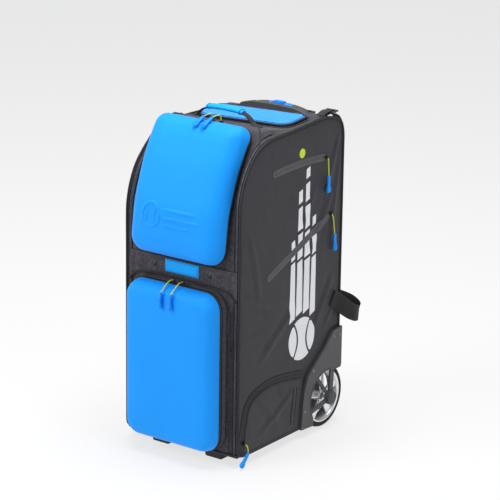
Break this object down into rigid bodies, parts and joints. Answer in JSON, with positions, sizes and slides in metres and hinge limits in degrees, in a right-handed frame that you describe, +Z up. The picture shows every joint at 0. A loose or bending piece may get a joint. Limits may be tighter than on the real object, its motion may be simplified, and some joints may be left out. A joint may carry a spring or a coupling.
{
  "type": "tennis ball machine",
  "caption": "Upright wheeled bag holding a wheel-driven ball launcher, with moulded zip covers, a hinged top lid, a telescopic handle and side zips.",
  "frame": {"origin": "centre of the bounding box at floor level", "axes": "+Z up, -Y towards the side with the two blue covers, +X towards the side with the zips"},
  "size_m": [0.426, 0.5976, 0.9028],
  "materials": {
    "nylon": "matte woven",
    "band_cloth": "matte mesh",
    "shell_blue": "moulded foam with knit face",
    "lid_blue": "padded knit",
    "grip_blue": "satin",
    "pull_blue": "satin",
    "webbing": "ribbed",
    "moulded": "fine grain",
    "housing_grey": "fine grain",
    "rubber": "matte",
    "chrome": "bright",
    "steel": "brushed",
    "dark_metal": "satin",
    "aluminium": "anodised",
    "launcher_grey": "satin",
    "launch_rubber": "matte",
    "battery_black": "satin",
    "lime": "gloss"
  },
  "bodies": {
    "bag": {"back_panel": "nylon", "base_tray": "moulded", "battery_pack": "battery_black", "control_panel": "moulded", "corner_buckle": "moulded", "corner_strap": "webbing", "drop_tube": "moulded", "feed_motor": "steel", "front_foot_left": "rubber", "front_foot_right": "rubber", "front_strap": "shell_blue", "handle_bezel": "moulded", "handle_sleeve_left": "aluminium", "handle_sleeve_right": "aluminium", "hopper_bowl": "moulded", "launcher_base": "launcher_grey", "lower_front_frame": "band_cloth", "middle_shelf": "moulded", "press_stud_left": "dark_metal", "press_stud_right": "dark_metal", "side_panel_left": "nylon", "side_panel_right": "nylon", "strap_loop": "webbing", "top_panel": "nylon", "upper_front_frame": "band_cloth", "wheel_axle_left": "steel", "wheel_axle_right": "steel", "wheel_housing_left": "housing_grey", "wheel_housing_right": "housing_grey"},
    "upper_cover_body": {"upper_cover": "shell_blue"},
    "lower_cover_body": {"lower_cover": "shell_blue"},
    "lid_body": {"top_lid": "lid_blue"},
    "grab_handle": {"grab_webbing": "webbing", "grab_grip": "grip_blue"},
    "trolley_handle": {"handle_stem_right": "aluminium", "handle_stem_left": "aluminium", "handle_grip": "grip_blue"},
    "release_button": {"handle_button": "moulded"},
    "wheel_right": {"wheel_rim_right": "chrome", "wheel_tyre_right": "rubber"},
    "wheel_left": {"wheel_rim_left": "chrome", "wheel_tyre_left": "rubber"},
    "launcher": {"launcher_chassis": "launcher_grey", "launch_motor_upper": "steel", "launch_motor_lower": "steel"},
    "throw_wheel_upper": {"launch_wheel_upper": "launch_rubber"},
    "throw_wheel_lower": {"launch_wheel_lower": "launch_rubber"},
    "feeder": {"feed_disc": "launch_rubber"},
    "angle_dial": {"angle_knob": "grip_blue"},
    "speed_dial": {"speed_knob": "grip_blue"},
    "frequency_dial": {"frequency_knob": "grip_blue"},
    "power_switch": {"power_button": "lime"},
    "upper_pull_right": {"upper_pull_right": "pull_blue"},
    "upper_pull_left": {"upper_pull_left": "pull_blue"},
    "lower_pull_right": {"lower_pull_right": "pull_blue"},
    "lower_pull_left": {"lower_pull_left": "pull_blue"},
    "side_pull_upper": {"side_pull_upper": "pull_blue"},
    "side_pull_diagonal": {"side_pull_diagonal": "pull_blue"},
    "side_pull_pocket": {"side_pull_pocket": "pull_blue"}
  },
  "joints": [
    {"name": "upper_cover_hinge", "type": "hinge", "parent": "bag", "child": "upper_cover_body", "pos_m": [0, -0.2194, 0.525], "axis": [1, 0, 0], "range_deg": [0, 80]},
    {"name": "lower_cover_hinge", "type": "hinge", "parent": "bag", "child": "lower_cover_body", "pos_m": [0, -0.2194, 0.036], "axis": [1, 0, 0], "range_deg": [0, 60]},
    {"name": "top_lid_hinge", "type": "hinge", "parent": "bag", "child": "lid_body", "pos_m": [0, 0.1331, 0.8655], "axis": [-1, 0, 0], "range_deg": [0, 95]},
    {"name": "grab_handle_swing", "type": "hinge", "parent": "bag", "child": "grab_handle", "pos_m": [0, -0.0384, 0.873], "axis": [1, 0, 0], "range_deg": [0, 40]},
    {"name": "trolley_handle_slide", "type": "slide", "parent": "bag", "child": "trolley_handle", "axis": [0, 0, 1], "range_m": [0, 0.38]},
    {"name": "release_button_press", "type": "slide", "parent": "trolley_handle", "child": "release_button", "axis": [0, 0, -1], "range_m": [0, 0.003], "stiffness_N_per_m": 400, "springref_m": -0.001},
    {"name": "wheel_right_spin", "type": "hinge", "parent": "bag", "child": "wheel_right", "pos_m": [0.166, 0.1726, 0.0875], "axis": [1, 0, 0], "continuous": true},
    {"name": "wheel_left_spin", "type": "hinge", "parent": "bag", "child": "wheel_left", "pos_m": [-0.166, 0.1726, 0.0875], "axis": [1, 0, 0], "continuous": true},
    {"name": "launcher_tilt", "type": "hinge", "parent": "bag", "child": "launcher", "pos_m": [0, -0.0104, 0.63], "axis": [-1, 0, 0], "range_deg": [0, 20]},
    {"name": "angle_knob_turn", "type": "hinge", "parent": "bag", "child": "angle_dial", "pos_m": [0.1442, 0.0296, 0.59], "axis": [-1, 0, 0], "range_deg": [0, 300]},
    {"name": "upper_throw_wheel_spin", "type": "hinge", "parent": "launcher", "child": "throw_wheel_upper", "pos_m": [0, -0.0704, 0.7025], "axis": [1, 0, 0], "continuous": true},
    {"name": "lower_throw_wheel_spin", "type": "hinge", "parent": "launcher", "child": "throw_wheel_lower", "pos_m": [0, -0.0704, 0.5575], "axis": [1, 0, 0], "continuous": true},
    {"name": "feed_disc_spin", "type": "hinge", "parent": "bag", "child": "feeder", "pos_m": [0, 0.0546, 0.7745], "axis": [0, 0, 1], "continuous": true},
    {"name": "speed_knob_turn", "type": "hinge", "parent": "bag", "child": "speed_dial", "pos_m": [-0.07, -0.13727, 0.79382], "axis": [0, -0.8697, 0.4935], "range_deg": [0, 270]},
    {"name": "frequency_knob_turn", "type": "hinge", "parent": "bag", "child": "frequency_dial", "pos_m": [0.07, -0.13727, 0.79382], "axis": [0, -0.8697, 0.4935], "range_deg": [0, 270]},
    {"name": "power_button_press", "type": "slide", "parent": "bag", "child": "power_switch", "axis": [0, 0.8697, -0.4935], "range_m": [0, 0.0025], "stiffness_N_per_m": 400, "springref_m": -0.001},
    {"name": "upper_pull_right_swing", "type": "hinge", "parent": "upper_cover_body", "child": "upper_pull_right", "pos_m": [0.024, -0.0884, 0.8735], "axis": [0, -0.5108, 0.8597], "range_deg": [-4, 20]},
    {"name": "upper_pull_left_swing", "type": "hinge", "parent": "upper_cover_body", "child": "upper_pull_left", "pos_m": [-0.002, -0.0884, 0.8735], "axis": [0, -0.5108, 0.8597], "range_deg": [-20, 4]},
    {"name": "lower_pull_right_swing", "type": "hinge", "parent": "lower_cover_body", "child": "lower_pull_right", "pos_m": [0.02, -0.2384, 0.4765], "axis": [0, 1, 0], "range_deg": [-30, 5]},
    {"name": "lower_pull_left_swing", "type": "hinge", "parent": "lower_cover_body", "child": "lower_pull_left", "pos_m": [-0.012, -0.2384, 0.4765], "axis": [0, 1, 0], "range_deg": [-5, 30]},
    {"name": "side_zip_slide", "type": "slide", "parent": "bag", "child": "side_pull_upper", "axis": [0, -1, 0], "range_m": [0, 0.225]},
    {"name": "diagonal_zip_slide", "type": "slide", "parent": "bag", "child": "side_pull_diagonal", "axis": [0, -0.9307, -0.3657], "range_m": [0, 0.285]},
    {"name": "pocket_zip_slide", "type": "slide", "parent": "bag", "child": "side_pull_pocket", "axis": [0, 0.171, 0.9853], "range_m": [0, 0.07]}
  ],
  "couplings": [
    {"joint": "angle_knob_turn", "follows": "launcher_tilt", "ratio": 15}
  ]
}
